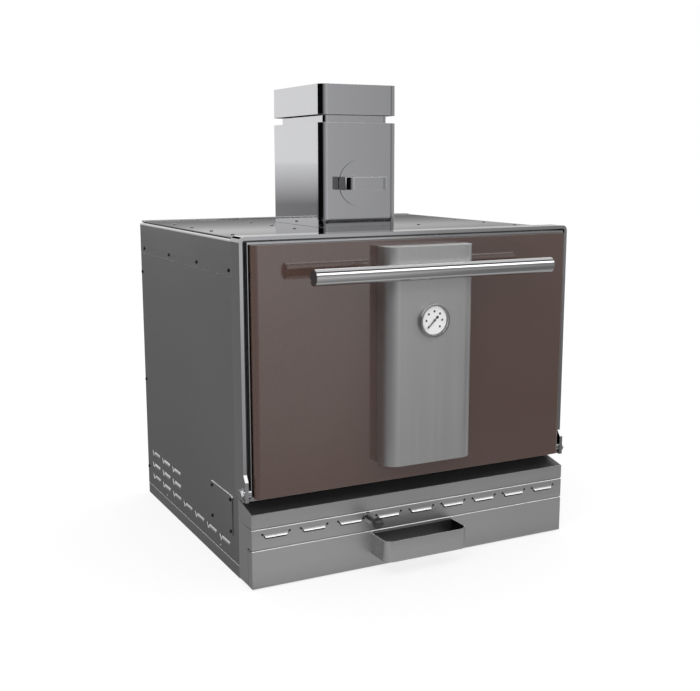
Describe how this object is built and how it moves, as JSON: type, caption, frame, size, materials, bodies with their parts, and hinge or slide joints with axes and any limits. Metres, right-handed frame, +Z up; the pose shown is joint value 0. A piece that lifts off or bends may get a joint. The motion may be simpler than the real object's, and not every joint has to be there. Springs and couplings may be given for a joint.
{
  "type": "charcoal oven",
  "caption": "Charcoal oven with a drop-down door, bar handle and thermometer, a louvred air strip with a regulator, an ash drawer and a damped flue with a draught hood.",
  "frame": {"origin": "on the ground under the middle of the casing: half-way across its width and half-way from the face of the lower housing to the back panel", "axes": "+Z up, -Y towards the cook, out of the door, and +X to the right of someone who faces the door"},
  "size_m": [0.7176, 0.7261, 0.914],
  "materials": {
    "casing_steel": "satin",
    "polished_steel": "polished",
    "bright_chrome": "polished",
    "brown_enamel": "gloss",
    "dark_enamel": "satin",
    "cast_iron": "rough",
    "dark_steel": "satin",
    "wool_board": "matt",
    "rope_seal": "matt",
    "white_dial": "matt",
    "needle_black": "satin",
    "gauge_glass": "clear",
    "knob_plastic": "satin"
  },
  "bodies": {
    "oven_body": {"base_pan": "casing_steel", "left_side_panel": "casing_steel", "right_side_panel": "casing_steel", "back_panel": "casing_steel", "top_plate": "polished_steel", "left_top_rail": "casing_steel", "right_top_rail": "casing_steel", "front_surround": "polished_steel", "front_frame": "casing_steel", "fascia": "casing_steel", "ledge": "dark_enamel", "vent_panel": "casing_steel", "left_cover": "casing_steel", "right_cover": "casing_steel", "cavity_liner": "dark_steel", "oven_insulation": "wool_board", "firebox_deck": "casing_steel", "firebox": "cast_iron", "fire_grate": "cast_iron", "rack_runners": "polished_steel", "upper_grill_rack": "bright_chrome", "lower_grill_rack": "bright_chrome", "drawer_runners": "polished_steel", "flue_throat": "polished_steel", "flue_box": "polished_steel", "flue_neck": "polished_steel", "flue_hood": "polished_steel", "hinge_bolts": "bright_chrome", "casing_screws": "dark_steel", "surround_screws": "bright_chrome", "regulator_collar": "dark_steel", "regulator_guides": "bright_chrome"},
    "door": {"door_back_plate": "polished_steel", "door_front_panel": "brown_enamel", "door_studs": "bright_chrome", "door_insulation": "wool_board", "door_liner": "polished_steel", "door_seal": "rope_seal", "hinge_bearings": "bright_chrome", "centre_panel": "casing_steel", "handle_bar": "bright_chrome", "handle_end_plugs": "dark_enamel", "handle_screws": "bright_chrome", "thermometer_case": "bright_chrome", "thermometer_dial": "white_dial", "thermometer_glass": "gauge_glass", "thermometer_stem": "bright_chrome"},
    "gauge_needle": {"thermometer_needle": "needle_black"},
    "ash_drawer": {"drawer_front": "casing_steel", "ash_pan": "dark_steel", "drawer_handle": "dark_steel"},
    "air_regulator": {"regulator_plate": "casing_steel", "regulator_rod": "dark_steel", "regulator_knob": "knob_plastic"},
    "flue_damper": {"damper_blade": "polished_steel", "damper_shaft": "bright_chrome", "damper_disc": "polished_steel", "damper_handle": "polished_steel"}
  },
  "joints": [
    {"name": "door_hinge", "type": "hinge", "parent": "oven_body", "child": "door", "pos_m": [0, -0.303, 0.176], "axis": [1, 0, 0], "range_deg": [0, 90]},
    {"name": "needle_pivot", "type": "hinge", "parent": "door", "child": "gauge_needle", "pos_m": [0, -0.365, 0.4757], "axis": [0, 1, 0], "range_deg": [0, 270]},
    {"name": "ash_drawer_slide", "type": "slide", "parent": "oven_body", "child": "ash_drawer", "axis": [0, -1, 0], "range_m": [0, 0.3]},
    {"name": "air_regulator_slide", "type": "slide", "parent": "oven_body", "child": "air_regulator", "axis": [0, 1, 0], "range_m": [0, 0.022]},
    {"name": "flue_damper_turn", "type": "hinge", "parent": "oven_body", "child": "flue_damper", "pos_m": [0, 0.0435, 0.7185], "axis": [0, 1, 0], "range_deg": [0, 90]}
  ]
}
